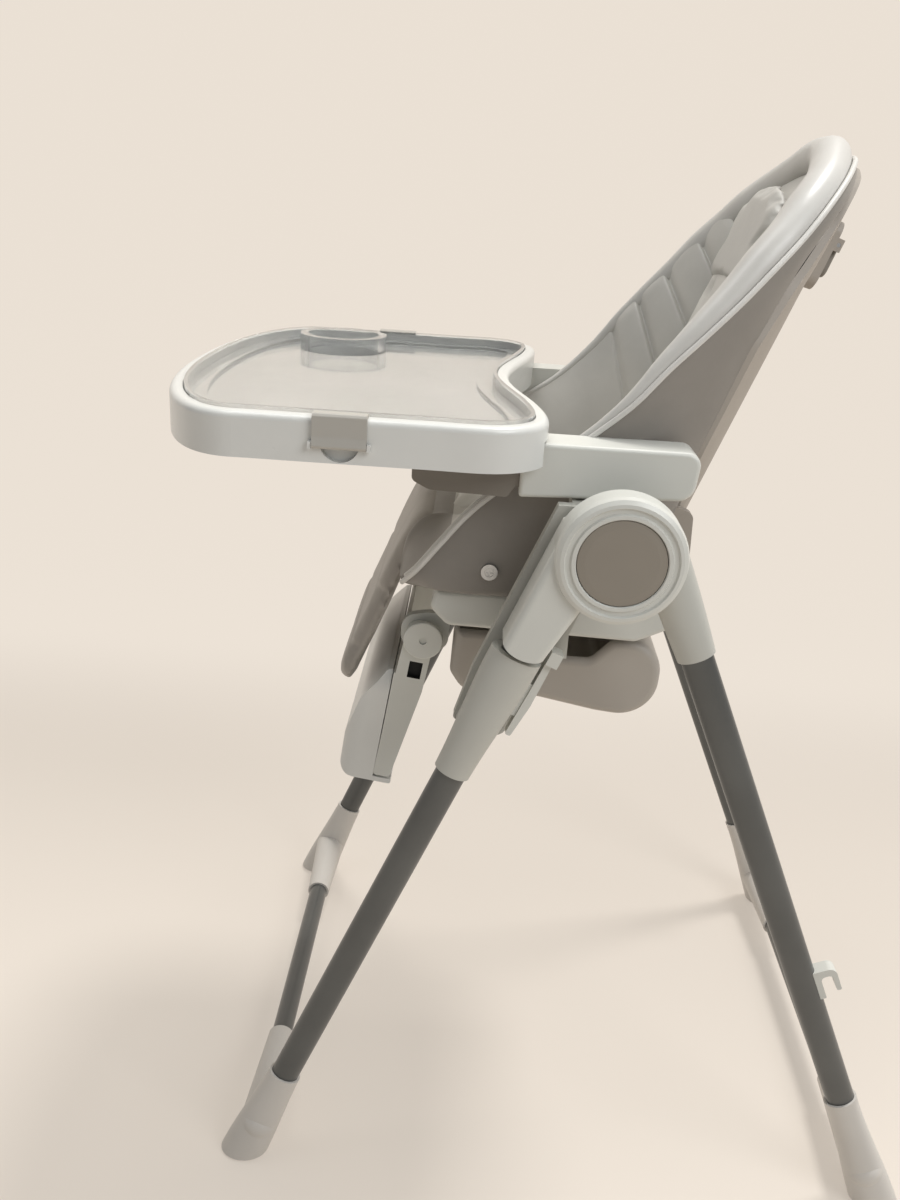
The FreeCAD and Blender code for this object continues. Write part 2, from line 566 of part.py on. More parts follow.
# ---------------------------------------------------------------- tray
def tray_outline():
    """Plan of the tray: a broad rounded front and a shallow scoop at the back for the child."""
    points = []
    for i in range(21):  # the front, from the left side round to the right
        turn = radians(9 * i)
        across = abs(cos(turn)) ** (2 / TRAY_POWER) * (1 if i <= 10 else -1)
        points.append((TRAY_HALF * across, TRAY_SIDE_Y - (TRAY_SIDE_Y - TRAY_FRONT) * sin(turn) ** (2 / TRAY_POWER)))
    points += [(-TRAY_HALF, TRAY_SIDE_Y + 45 * i) for i in (1, 2, 3, 4)]
    corner_x, corner_y = TRAY_HALF - TRAY_CORNER, TRAY_REAR - TRAY_CORNER
    for i in (1, 2, 3, 4, 5, 6):
        turn = radians(15 * i)
        points.append((-corner_x - TRAY_CORNER * cos(turn), corner_y + TRAY_CORNER * sin(turn)))
    for i in range(-5, 6):
        x = corner_x * i / 6
        points.append((x, TRAY_REAR - TRAY_SCOOP * cos(radians(90 * i / 6)) ** 2))
    for i in (6, 5, 4, 3, 2, 1):
        turn = radians(15 * i)
        points.append((corner_x + TRAY_CORNER * cos(turn), corner_y + TRAY_CORNER * sin(turn)))
    points += [(TRAY_HALF, TRAY_SIDE_Y + 45 * i) for i in (4, 3, 2, 1)]
    return [Vector(x, y, 0) for x, y in points]


def drawn_in(loop, shrink):
    """Each point of a loop moved inwards by shrink, square to the line between its neighbours."""
    moved = []
    for i, point in enumerate(loop):
        run = (loop[(i + 1) % len(loop)] - loop[i - 1]).normalize()
        moved.append(point + Vector(run.y, -run.x, 0) * shrink)
    return moved


def tray_prism(shrink, z):
    points = [Vector(p.x, p.y, z[0]) for p in drawn_in(tray_outline(), shrink)]
    curve = Part.BSplineCurve()
    curve.interpolate(Points=points, PeriodicFlag=True)
    return Part.Face(Part.Wire([curve.toShape()])).extrude(Vector(0, 0, z[1] - z[0]))


def tray_body():
    """Tray with a raised rim, a deep skirt, and notches in the skirt that clear the armrests."""
    body = tray_prism(0, (TRAY_BOTTOM, TRAY_TOP))
    body = smoothed(body, 6, lambda e: e.CenterOfMass.z > TRAY_TOP - 0.1)
    body = body.cut(tray_prism(12, (TRAY_DECK, TRAY_TOP + 5)))
    body = body.cut(tray_prism(4, (TRAY_BOTTOM - 5, TRAY_DECK - 3)))
    cup = Part.makeCylinder(CUP_R + 3, 22, Vector(CUP_X, CUP_Y, TRAY_DECK - 22))
    body = body.fuse(cup).cut(Part.makeCylinder(CUP_R, 40, Vector(CUP_X, CUP_Y, TRAY_DECK - 19)))
    rail = box((14.4, 18), (-320, -270), (808, TRAY_DECK - 3)).fuse(box((10, 18), (-320, -270), (808, 811.6)))
    lugs = [box((TRAY_HALF - 1, TRAY_HALF + 5), y, (811.5, 817.5)) for y in clip_lugs()]
    body = body.fuse([rail, mirrored(rail)] + lugs + [mirrored(lug) for lug in lugs])
    for side in (1, -1):
        low, high = sorted((side * (ARMREST_X[0] - 6), side * (ARMREST_X[1] + 6)))
        body = body.cut(box((low, high), (-110, 0), (TRAY_BOTTOM - 5, ARMREST_Z[1] + 2.5)))
        boss = box(tuple(sorted((side * (TRAY_HALF - 9), side * (TRAY_HALF - 3)))), (CLIP_Y - 23, CLIP_Y + 23),
                   (TRAY_BOTTOM, TRAY_DECK - 1))
        body = body.fuse(boss)
        across = tuple(sorted((side * (TRAY_HALF - 6), side * (TRAY_HALF + 9))))
        body = body.cut(rod(17, across, CLIP_Y, TRAY_TOP - 21).common(box((-400, 400), (-400, 0), (700, TRAY_TOP - 21))))
    return clip_pins_bore(body)


def clip_lugs():
    """The two stretches of Y, beside the clip, where the tray holds its pin."""
    half = CLIP_W / 2 + 0.4
    return [(CLIP_Y - half - 3, CLIP_Y - half), (CLIP_Y + half, CLIP_Y + half + 3)]


def clip_pin(radius, reach):
    rod_y = (CLIP_Y - reach, CLIP_Y + reach)
    start = Vector(TRAY_HALF + 3, rod_y[0], CLIP_PIN_Z)
    return Part.makeCylinder(radius, rod_y[1] - rod_y[0], start, Vector(0, 1, 0))


def clip_pins_bore(body):
    reach = CLIP_W / 2 + 10
    return body.cut(both(clip_pin(CLIP_PIN_R + 0.02, reach)))


def tray_arm():
    """Slide arm under the tray that runs into the hollow armrest."""
    w = ARMREST_WALL + 1.0
    x = (ARMREST_X[0] + w, ARMREST_X[1] - w)
    low, high = ARMREST_Z[0] + w + 2, ARMREST_Z[1] - w
    side = [(-166, 776), (-150, 768), (-80, 766), (-74, low), (ARM_REACH, low), (ARM_REACH, high), (-112, high),
            (-118, TRAY_DECK - 3.2), (-166, TRAY_DECK - 3.2)]
    return side_prism(side, [6, 20, 4, 3, 3, 3, 3, 2, 4], x)


def tray_cover():
    """Clear liner that drops into the tray, with a raised border and a cup ring."""
    low = TRAY_DECK + 0.3
    dish = tray_prism(13, (low, TRAY_TOP + 3))
    dish = dish.cut(tray_prism(17, (low + 2.2, TRAY_TOP + 6)))
    border = tray_prism(17, (low + 2.2, low + 5)).cut(tray_prism(34, (low, low + 8)))
    ring = Part.makeCylinder(CUP_R + 6, TRAY_TOP + 8 - low, Vector(CUP_X, CUP_Y, low))
    cup = Part.makeCylinder(CUP_R - 1, 16, Vector(CUP_X, CUP_Y, TRAY_DECK - 15))
    hole = Part.makeCylinder(CUP_R - 3.5, 60, Vector(CUP_X, CUP_Y, TRAY_DECK - 12.5))
    return dish.fuse([border, ring, cup]).cut(hole).removeSplitter()


def tray_clip():
    """Latch that folds over the rim and holds the clear liner down."""
    low, high = CLIP_Y - CLIP_W / 2, CLIP_Y + CLIP_W / 2
    top, out = TRAY_TOP + 3.6, TRAY_HALF
    section = [(out - 11, top - 3.2), (out - 11, top - 0.8), (out - 8, top), (out + 1.5, top), (out + 3.6, top - 2.5),
               (out + 4.2, 822), (out + 6.8, 814), (out + 4, 811.8), (out + 0.6, 812.6), (out + 0.4, top - 3.2)]
    rounds = [0.6, 0.6, 3, 2, 2, 8, 2, 2, 1, 0.5]
    wire = rounded_wire(section, rounds, lambda p: Vector(p.x, low, p.y))
    clip = Part.Face(wire).extrude(Vector(0, high - low, 0))
    return clip.cut(clip_pin(CLIP_PIN_R + 0.05, CLIP_W))


def tray_release():
    """One-hand release handle under the front of the tray; its stem runs between two rails."""
    grip = side_prism([(-376, 803), (-330, 803), (-330, 811), (-370, 813)], [3, 2, 2, 3], (-55, 55))
    stem = box((-14, 14), (-340, -250), (812, TRAY_DECK - 3.4))
    neck = box((-14, 14), (-345, -331), (806, TRAY_DECK - 3.4))
    return grip.fuse([stem, neck]).removeSplitter()


# ---------------------------------------------------------------- write every node
def pair(nodes, name, shape):
    nodes[name + "_left"] = shape
    nodes[name + "_right"] = mirrored(shape)


def build():
    nodes = {}
    pair(nodes, "front_leg_tube", leg_tube(FRONT, front_tube_top()))
    pair(nodes, "rear_leg_tube", leg_tube(REAR, rear_tube_top()))
    pair(nodes, "front_foot", foot(FRONT, FRONT_FLOOR_Y, FRONT_TOP_Y, FRONT_RIM_S))
    pair(nodes, "rear_foot", foot(REAR, REAR_FLOOR_Y, REAR_TOP_Y, REAR_RIM_S))
    nodes["front_foot_pads"] = both(foot_pad(FRONT))
    nodes["rear_foot_pads"] = both(foot_pad(REAR))
    nodes["front_cross_tube"] = cross_tube(cross_y(FRONT_FLOOR_Y, FRONT_TOP_Y))
    nodes["rear_cross_tube"] = cross_tube(cross_y(REAR_FLOOR_Y, REAR_TOP_Y))
    nodes["tray_hooks"] = both(tray_hook())

    pair(nodes, "hub_housing", hub_housing())
    nodes["hub_axles"] = both(hub_axle())
    pair(nodes, "rear_leg_sleeve", rear_sleeve())
    pair(nodes, "fold_button", fold_button())

    pair(nodes, "seat_slider", seat_slider())
    pair(nodes, "height_lever", height_lever())
    nodes["seat_pan"] = seat_pan()
    pair(nodes, "legrest_bracket", legrest_bracket())
    pair(nodes, "armrest", armrest())
    nodes["seat_cushion"] = seat_cushion()
    nodes["front_roll"] = front_roll()
    pair(nodes, "seat_wing", seat_wing())
    nodes["crotch_strap"] = crotch_strap()
    nodes["harness_buckle"] = harness_buckle()
    nodes["lap_straps"] = both(lap_strap())
    nodes["storage_basket"] = storage_basket()
    nodes["cover_screws"] = both(cover_screw())
    recline_pin = pivot_pin(PIVOT_Y, PIVOT_Z, (140, 165))
    legrest_pin = pivot_pin(LEGREST_Y, LEGREST_Z, (110, LEGREST_HALF - 0.2))
    nodes["pivot_pins"] = Part.makeCompound([both(recline_pin), both(legrest_pin)])

    nodes["back_shell"] = back_shell()
    nodes["back_cushion"] = back_cushion()
    nodes["head_pad"] = head_pad()
    pair(nodes, "back_wing", back_wing())
    nodes["recline_bezel"] = recline_bezel()
    nodes["recline_lever"] = recline_lever()
    nodes["lever_pin"] = lever_pin()

    nodes["legrest_frame"] = legrest_frame()
    nodes["legrest_caps"] = both(legrest_cap())
    nodes["footrest"] = footrest()
    nodes["calf_pad"] = calf_pad()

    nodes["tray_body"] = tray_body()
    pair(nodes, "tray_arm", tray_arm())
    nodes["tray_cover"] = tray_cover()
    pair(nodes, "tray_clip", tray_clip())
    nodes["clip_pins"] = both(clip_pin(CLIP_PIN_R, CLIP_W / 2 + 3.4))
    nodes["tray_release"] = tray_release()
    return nodes


os.makedirs("parts", exist_ok=True)
for node, shape in build().items():
    shape.exportStep(os.path.join("parts", node + ".step"))
    print(node, "valid" if shape.isValid() else "NOT VALID", len(shape.Solids), round(shape.Volume / 1000, 1), "cm3")
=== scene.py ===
"""Visual model of the folding high chair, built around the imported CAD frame. Lengths are in metres."""

from math import cos, exp, pi, radians, sin

import bmesh
import bpy
from mathutils import Matrix, Vector, noise


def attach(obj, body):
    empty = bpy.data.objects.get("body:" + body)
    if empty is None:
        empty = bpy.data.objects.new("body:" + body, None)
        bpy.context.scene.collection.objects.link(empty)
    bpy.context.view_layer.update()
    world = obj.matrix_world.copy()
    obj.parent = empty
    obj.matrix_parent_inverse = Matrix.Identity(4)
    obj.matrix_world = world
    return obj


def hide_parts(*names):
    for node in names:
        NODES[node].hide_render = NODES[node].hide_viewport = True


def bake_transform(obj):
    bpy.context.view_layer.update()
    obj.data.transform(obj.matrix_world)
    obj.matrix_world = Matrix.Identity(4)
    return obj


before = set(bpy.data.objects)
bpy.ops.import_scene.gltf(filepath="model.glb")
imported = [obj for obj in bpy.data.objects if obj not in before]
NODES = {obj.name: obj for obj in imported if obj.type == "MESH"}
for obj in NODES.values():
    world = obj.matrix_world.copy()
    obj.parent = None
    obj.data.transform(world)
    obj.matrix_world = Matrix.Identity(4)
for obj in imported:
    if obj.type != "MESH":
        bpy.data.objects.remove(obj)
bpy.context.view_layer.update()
MM = 0.001
WANDER = (0.35, 0.65)  # stretch of the noise over which a material goes from its first to its second colour


# ---------------------------------------------------------------- materials
class Shader:
    """A material with a Principled shader and helpers that add procedural detail to it."""

    def __init__(self, name, rough=0.5, metallic=0.0, **sockets):
        self.mat = bpy.data.materials.new(name)
        self.mat.use_nodes = True
        self.nodes = self.mat.node_tree.nodes
        self.links = self.mat.node_tree.links
        self.bsdf = self.nodes["Principled BSDF"]
        self.bsdf.inputs["Roughness"].default_value = rough
        self.bsdf.inputs["Metallic"].default_value = metallic
        for socket, value in sockets.items():
            self.bsdf.inputs[socket.replace("_", " ")].default_value = value
        self.coords = self.nodes.new("ShaderNodeTexCoord").outputs["Object"]
        self.height = None

    def noise(self, scale, detail=3.0, rough=0.5, stretch=None):
        node = self.nodes.new("ShaderNodeTexNoise")
        node.inputs["Scale"].default_value = scale
        node.inputs["Detail"].default_value = detail
        node.inputs["Roughness"].default_value = rough
        self.links.new(self.mapped(stretch), node.inputs["Vector"])
        return node.outputs["Fac"]

    def mapped(self, stretch):
        if stretch is None:
            return self.coords
        node = self.nodes.new("ShaderNodeMapping")
        node.inputs["Scale"].default_value = stretch
        self.links.new(self.coords, node.inputs["Vector"])
        return node.outputs["Vector"]

    def cells(self, scale):
        node = self.nodes.new("ShaderNodeTexVoronoi")
        node.feature = "DISTANCE_TO_EDGE"
        node.inputs["Scale"].default_value = scale
        self.links.new(self.coords, node.inputs["Vector"])
        return node.outputs["Distance"]

    def waves(self, scale, direction, distortion=0.0):
        node = self.nodes.new("ShaderNodeTexWave")
        node.bands_direction = direction
        node.inputs["Scale"].default_value = scale
        node.inputs["Distortion"].default_value = distortion
        self.links.new(self.coords, node.inputs["Vector"])
        return node.outputs["Fac"]

    def ramp(self, fac, stops):
        node = self.nodes.new("ShaderNodeValToRGB")
        elements = node.color_ramp.elements
        while len(elements) < len(stops):
            elements.new(0.5)
        for element, (place, colour) in zip(elements, stops):
            element.position = place
            element.color = (*colour, 1.0)
        self.links.new(fac, node.inputs["Fac"])
        return node.outputs["Color"]

    def colour(self, fac, low, high):
        """Base colour that wanders between two close colours."""
        shade = self.ramp(fac, [(WANDER[0], low), (WANDER[1], high)])
        self.links.new(shade, self.bsdf.inputs["Base Color"])
        return self

    def roughness(self, fac, low, high):
        node = self.nodes.new("ShaderNodeMapRange")
        node.inputs["To Min"].default_value = low
        node.inputs["To Max"].default_value = high
        self.links.new(fac, node.inputs["Value"])
        self.links.new(node.outputs["Result"], self.bsdf.inputs["Roughness"])
        return self

    def bump(self, fac, strength, distance):
        node = self.nodes.new("ShaderNodeBump")
        node.inputs["Strength"].default_value = strength
        node.inputs["Distance"].default_value = distance
        self.links.new(fac, node.inputs["Height"])
        if self.height is not None:
            self.links.new(self.height, node.inputs["Normal"])
        self.height = node.outputs["Normal"]
        self.links.new(self.height, self.bsdf.inputs["Normal"])
        return self


def tone(colour, factor):
    return tuple(min(c * factor, 1.0) for c in colour)


def plastic(name, colour, rough=0.42, grain=0.08, coat=0.0):
    """Moulded plastic: fine spark grain, slight flow shading and uneven gloss."""
    s = Shader(name, rough, Coat_Weight=coat, Coat_Roughness=0.25, IOR=1.46)
    flow = s.noise(6.0, 4.0, 0.55)
    s.colour(flow, tone(colour, 0.955), tone(colour, 1.03))
    s.roughness(s.noise(38.0, 5.0, 0.6), rough - 0.07, rough + 0.08)
    s.bump(s.noise(1500.0, 2.0), grain, 0.0002)
    return s.bump(s.noise(16.0, 2.0), 0.05, 0.001).mat


def leatherette(name, colour, grain=0.30, rough=0.46):
    """Coated fabric: pebble grain of two sizes, a soft sheen, and creases that catch the light."""
    s = Shader(name, rough, Sheen_Weight=0.12, Sheen_Roughness=0.5, IOR=1.5,
               Coat_Weight=0.06, Coat_Roughness=0.4)
    s.colour(s.noise(9.0, 5.0, 0.6), tone(colour, 0.93), tone(colour, 1.05))
    s.roughness(s.noise(60.0, 4.0, 0.6), rough - 0.06, rough + 0.1)
    s.bump(s.cells(620.0), grain, 0.00035)
    s.bump(s.noise(1400.0, 2.0), grain * 0.5, 0.0002)
    return s.bump(s.noise(45.0, 4.0, 0.62), 0.12, 0.0016).mat


def coated_steel(name, colour, rough=0.34):
    """Powder-coated tube: orange-peel ripple and slight wear in the gloss."""
    s = Shader(name, rough, 0.25, Coat_Weight=0.35, Coat_Roughness=0.18)
    s.colour(s.noise(14.0, 4.0), tone(colour, 0.92), tone(colour, 1.1))
    s.roughness(s.noise(90.0, 4.0, 0.65), rough - 0.06, rough + 0.1)
    s.bump(s.noise(900.0, 3.0), 0.10, 0.0003)
    return s.bump(s.noise(220.0, 2.0), 0.06, 0.0006).mat


def bare_steel(name):
    """Turned steel: fine scratches round it in the gloss and the relief."""
    s = Shader(name, 0.3, 1.0)
    s.colour(s.noise(60.0, 3.0), (0.50, 0.50, 0.49), (0.62, 0.62, 0.61))
    s.roughness(s.noise(400.0, 3.0, 0.6, (1, 12, 12)), 0.22, 0.42)
    return s.bump(s.noise(700.0, 2.0, 0.5, (1, 14, 14)), 0.12, 0.0002).mat


def webbing(name, colour):
    """Woven strap: ribs across it, threads along it."""
    s = Shader(name, 0.8, Sheen_Weight=0.25, Sheen_Roughness=0.4)
    s.colour(s.noise(140.0, 4.0), tone(colour, 0.82), tone(colour, 1.15))
    s.bump(s.waves(260.0, "Z", 0.4), 0.5, 0.0005)
    return s.bump(s.waves(420.0, "X", 0.6), 0.35, 0.0004).mat


def rubber(name, colour):
    """Dull rubber with a fine rough face."""
    s = Shader(name, 0.75)
    s.colour(s.noise(40.0, 4.0), tone(colour, 0.9), tone(colour, 1.12))
    return s.bump(s.noise(900.0, 3.0), 0.3, 0.0004).mat


def clear_plastic(name):
    """Clear moulded liner: thin, slightly milky, with faint scuffs."""
    s = Shader(name, 0.06, IOR=1.45, Transmission_Weight=0.92, Coat_Weight=0.25, Coat_Roughness=0.05)
    s.colour(s.noise(12.0, 3.0), (0.93, 0.94, 0.93), (0.985, 0.985, 0.98))
    s.roughness(s.noise(55.0, 5.0, 0.65), 0.03, 0.14)
    return s.bump(s.noise(30.0, 2.0), 0.03, 0.0008).mat


CREAM = (0.600, 0.602, 0.560)
TRAY_WHITE = (0.670, 0.672, 0.645)
DISC = (0.265, 0.236, 0.196)
SLEEVE = (0.480, 0.476, 0.435)
TAUPE = (0.205, 0.183, 0.155)
SKIN = (0.235, 0.215, 0.190)
# painted light: the same leatherette as SKIN, made lighter for the inside of the bucket where light falls on
# it
LIT_INSIDE_SKIN = (0.560, 0.545, 0.505)
# pale rim leatherette, made lighter still by a painted highlight along the rolled rim; the piping is lighter
# again
PALE_SKIN_AND_HIGHLIGHT = (0.550, 0.536, 0.505)

MATERIALS = {
    "cream": plastic("cream plastic", CREAM, 0.40),
    "foot": plastic("foot plastic", (0.600, 0.572, 0.532), 0.46, 0.12),
    "hub": plastic("hub plastic", CREAM, 0.36, 0.06, 0.15),
    "tray": plastic("tray plastic", TRAY_WHITE, 0.30, 0.04, 0.25),
    "white": plastic("white plastic", TRAY_WHITE, 0.34, 0.05, 0.15),
    "sleeve": plastic("sleeve plastic", SLEEVE, 0.42),
    "dark": plastic("slot shade", (0.012, 0.012, 0.011), 0.7),
    "disc": plastic("button plastic", DISC, 0.44, 0.14),
    "taupe": plastic("taupe plastic", TAUPE, 0.46, 0.16),
    "taupe_light": plastic("clip plastic", (0.430, 0.410, 0.370), 0.38, 0.08, 0.1),
    "shell": plastic("back shell plastic", (0.355, 0.318, 0.275), 0.50, 0.30),
    "tub": plastic("tub plastic", (0.400, 0.366, 0.323), 0.44, 0.12),
    "steel": coated_steel("leg steel", (0.085, 0.087, 0.083)),
    "pin": bare_steel("pin steel"),
    "rubber": rubber("pad rubber", (0.030, 0.030, 0.029)),
    "skin": leatherette("cover leatherette", SKIN),
    # the inside of the bucket, the pads and the head pad take their colour from the painted-light inside
    # colour; the pads are lighter still as painted light
    "lit_inside": leatherette("lining leatherette", LIT_INSIDE_SKIN, 0.26, 0.42),
    "pad": leatherette("pad leatherette", tone(LIT_INSIDE_SKIN, 1.12), 0.24, 0.42),
    "head": leatherette("head leatherette", tone(LIT_INSIDE_SKIN, 0.84), 0.30, 0.50),
    "flap": leatherette("flap leatherette", tone(SKIN, 1.35), 0.26, 0.46),
    # rim roll and piping: pale leatherette with a painted highlight
    "band": leatherette("rim leatherette", PALE_SKIN_AND_HIGHLIGHT, 0.18, 0.36),
    "piping": leatherette("piping leatherette", tone(PALE_SKIN_AND_HIGHLIGHT, 1.10), 0.15, 0.38),
    "strap": webbing("harness webbing", (0.085, 0.08, 0.072)),
    "clear": clear_plastic("clear liner plastic"),
}


def sides(name):
    return [name + "_left", name + "_right"]


FINISHES = {
    "steel": sides("front_leg_tube") + sides("rear_leg_tube") + ["front_cross_tube", "rear_cross_tube"],
    "foot": sides("front_foot") + sides("rear_foot"),
    "rubber": ["front_foot_pads", "rear_foot_pads"],
    "hub": sides("hub_housing"),
    "sleeve": sides("rear_leg_sleeve") + sides("seat_slider"),
    "cream": sides("height_lever") + sides("armrest") + sides("legrest_bracket")
    + ["tray_hooks", "seat_pan", "legrest_frame", "legrest_caps"],
    "tub": ["storage_basket"],
    "white": ["footrest"],
    "tray": ["tray_body", "tray_release"],
    "disc": sides("fold_button"),
    "taupe": sides("tray_arm") + ["recline_lever", "harness_buckle"],
    "taupe_light": sides("tray_clip"),
    "shell": ["back_shell", "recline_bezel"],
    "pin": ["hub_axles", "pivot_pins", "lever_pin", "cover_screws", "clip_pins"],
    "clear": ["tray_cover"],
    "strap": ["crotch_strap", "lap_straps"],
}
for finish, names in FINISHES.items():
    for node_name in names:
        mesh = NODES[node_name].data
        mesh.materials.clear()
        mesh.materials.append(MATERIALS[finish])


LEG_PIVOT, LEG_TILT = (-152.0, 584.0), radians(8)  # hinge (y, z) and lean of the leg rest
# inside of an arm's window: how far out from the middle, and across and along the arm from the hinge
WINDOW_OUT, WINDOW_ACROSS, WINDOW_ALONG = (127.5, 133.5), (-9.2, 5.2), (-46.2, -26.8)


def shade_windows(node):
    """Darkens the inside of the two windows in the leg rest's side arms."""
    node.data.materials.append(MATERIALS["dark"])
    for polygon in node.data.polygons:
        point = (node.matrix_world @ polygon.center) / MM
        dy, dz = point.y - LEG_PIVOT[0], point.z - LEG_PIVOT[1]
        across = dy * cos(LEG_TILT) - dz * sin(LEG_TILT)
        along = dy * sin(LEG_TILT) + dz * cos(LEG_TILT)
        spans = (abs(point.x), WINDOW_OUT), (across, WINDOW_ACROSS), (along, WINDOW_ALONG)
        if all(low < value < high for value, (low, high) in spans):
            polygon.material_index = 1


shade_windows(NODES["legrest_frame"])


# ---------------------------------------------------------------- mesh helpers
MERGE = 2e-5  # points nearer than this become one
BEAD_SIDES, BEAD_STOPS = 20, 150
VOXEL, PRESSURE, SWELL_FRAMES = 0.005, 4.0, 20  # of the cloth simulation
FACING_GAIN = 1.6  # how fast a pressed line fades out where the pad turns away


def new_object(name, verts, faces, material, lit_inside=None, lit_faces=()):
    """Smooth mesh in one material, with the faces whose numbers are in lit_faces in the second material
    lit_inside, a lighter copy that paints light on them.
    """
    data = bpy.data.meshes.new(name)
    data.from_pydata([tuple(v) for v in verts], [], faces)
    data.materials.append(material)
    if lit_inside is not None:
        data.materials.append(lit_inside)
    for number in lit_faces:
        data.polygons[number].material_index = 1
    data.validate()
    obj = bpy.data.objects.new(name, data)
    bpy.context.scene.collection.objects.link(obj)
    clean = bmesh.new()
    clean.from_mesh(data)
    bmesh.ops.remove_doubles(clean, verts=clean.verts, dist=MERGE)
    bmesh.ops.recalc_face_normals(clean, faces=clean.faces)
    clean.to_mesh(data)
    clean.free()
    for polygon in data.polygons:
        polygon.use_smooth = True
    return obj


def grid_faces(rows, columns, close_columns=False):
    """Quads of a grid of points stored row by row."""
    faces = []
    for i in range(rows - 1):
        for j in range(columns if close_columns else columns - 1):
            a, b = i * columns + j, i * columns + (j + 1) % columns
            c, d = (i + 1) * columns + (j + 1) % columns, (i + 1) * columns + j
            faces.append((a, b, c, d))
    return faces


def spline(points, t):
    """Catmull-Rom curve through points; t runs from 0 to the number of spans."""
    last = len(points) - 1
    i = min(int(t), last - 1)
    f = t - i
    p0, p1, p2, p3 = points[max(i - 1, 0)], points[i], points[i + 1], points[min(i + 2, last)]
    return [
        0.5 * (2 * b + (c - a) * f + (2 * a - 5 * b + 4 * c - d) * f * f + (3 * b - a - 3 * c + d) * f ** 3)
        for a, b, c, d in zip(p0, p1, p2, p3)
    ]


def resample(points, count):
    """Evenly spaced readings of the curve through points, in its own parameter."""
    span = len(points) - 1
    return [spline(points, span * i / (count - 1)) for i in range(count)]


def subdivide(obj):
    modifier = obj.modifiers.new("subdivision", "SUBSURF")
    modifier.levels = 1
    modifier.render_levels = 1
    return obj


def swept(name, stops, material):
    """Rounded bead through stops, each a centre, two axes of its section and its half sizes along them."""
    verts = []
    for centre, side, rise, wide, high in stops:
        for k in range(BEAD_SIDES):
            turn = 2 * pi * k / BEAD_SIDES
            verts.append((centre + side * (cos(turn) * wide) + rise * (sin(turn) * high)) * MM)
    faces = grid_faces(len(stops), BEAD_SIDES, close_columns=True)
    faces.append(tuple(range(BEAD_SIDES)))
    faces.append(tuple(range((len(stops) - 1) * BEAD_SIDES, len(stops) * BEAD_SIDES)))
    return new_object(name, verts, faces, material)


def baked(obj):
    """Applies what the modifiers of obj do to its mesh."""
    graph = bpy.context.evaluated_depsgraph_get()
    data = bpy.data.meshes.new_from_object(obj.evaluated_get(graph))
    obj.modifiers.clear()
    obj.data = data
    for polygon in data.polygons:
        polygon.use_smooth = True
    return obj


def swollen(obj, cap):
    """Cloth under pressure swells a pad, and no point goes further than cap from where it
    started."""
    remesh = obj.modifiers.new("remesh", "REMESH")
    remesh.mode = "VOXEL"
    remesh.voxel_size = VOXEL
    baked(obj)
    rest = [v.co.copy() for v in obj.data.vertices]
    cloth = obj.modifiers.new("swell", "CLOTH")
    cloth.settings.use_pressure = True
    cloth.settings.uniform_pressure_force = PRESSURE
    cloth.settings.effector_weights.gravity = 0.0
    cloth.point_cache.frame_start = 1
    cloth.point_cache.frame_end = SWELL_FRAMES
    for frame_number in range(1, SWELL_FRAMES + 1):
        bpy.context.scene.frame_set(frame_number)
    baked(obj)
    bpy.context.scene.frame_set(1)
    for vertex, start in zip(obj.data.vertices, rest):
        move = vertex.co - start
        if move.length > cap:
            vertex.co = start + move * (cap / move.length)
    return obj


def pressed(obj, outward, depth):
    """Moves the outer face in, by depth(point) millimetres along outward."""
    outward = Vector(outward).normalized()
    obj.data.update()
    moves = []
    for vertex in obj.data.vertices:
        facing = min(max(vertex.normal.dot(outward) * FACING_GAIN, 0.0), 1.0)
        moves.append(outward * (depth(vertex.co / MM) * facing * MM))
    for vertex, move in zip(obj.data.vertices, moves):
        vertex.co -= move
    return obj


def soft_piece(obj, body):
    """A pad that rides on one body."""
    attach(obj, body)


# ---------------------------------------------------------------- seat cover, one bucket over seat and back
# From the front of the seat to the top of the back, in millimetres: front middle (y, z),
# piped edge (x, y, z), outer foot of the side (x, y, z), rear middle (y, z) and half the
# width of the flat middle.
STATIONS = [
    ((-181, 652), (150, -176, 652), (152, -158, 650), (-158, 650), 118),
    ((-172, 692), (165, -160, 672), (172, -148, 655), (-150, 655), 120),
    ((-150, 715), (172, -140, 700), (178, -132, 654), (-136, 656), 122),
    ((-110, 718), (175, -114, 734), (180, -104, 653), (-104, 656), 124),
    ((-60, 712), (177, -86, 761), (181, -66, 653), (-60, 656), 125),
    ((-12, 707), (178, -54, 784), (181, -24, 653), (-12, 656), 125),
    ((28, 706), (180, -24, 804), (180, 20, 656), (26, 656), 122),
    ((52, 716), (184, 2, 826), (168, 58, 690), (58, 668), 118),
    ((68, 742), (187, 28, 851), (158, 82, 742), (92, 722), 114),
    ((81, 782), (185, 55, 883), (155, 94, 790), (110, 768), 110),
    ((98, 832), (180, 84, 913), (154, 108, 832), (126, 824), 106),
    ((118, 883), (172, 111, 941), (153, 124, 880), (144, 876), 102),
    ((137, 929), (162, 137, 970), (149, 143, 926), (160, 922), 96),
    ((153, 971), (147, 161, 996), (141, 164, 970), (175, 962), 88),
    ((167, 1006), (124, 184, 1022), (122, 189, 1006), (190, 1000), 76),
    ((180, 1033), (90, 206, 1046), (90, 212, 1036), (206, 1030), 58),
    ((196, 1050), (50, 222, 1062), (50, 226, 1056), (219, 1052), 34),
    ((216, 1060), (12, 231, 1067), (12, 232, 1063), (229, 1062), 8),
]
LAST = len(STATIONS) - 1
ROWS = 300
INNER, OUTER, REAR = 30, 12, 8  # columns of half a section's inner face, outer side and rear
FOLD = 11  # column of the inner face where the flat middle ends and the side begins
LIT_INSIDE_SKIN_FROM = 2.6  # station where the inside of the bucket starts to take the lighter painted-light colour, under the front of the seat pad
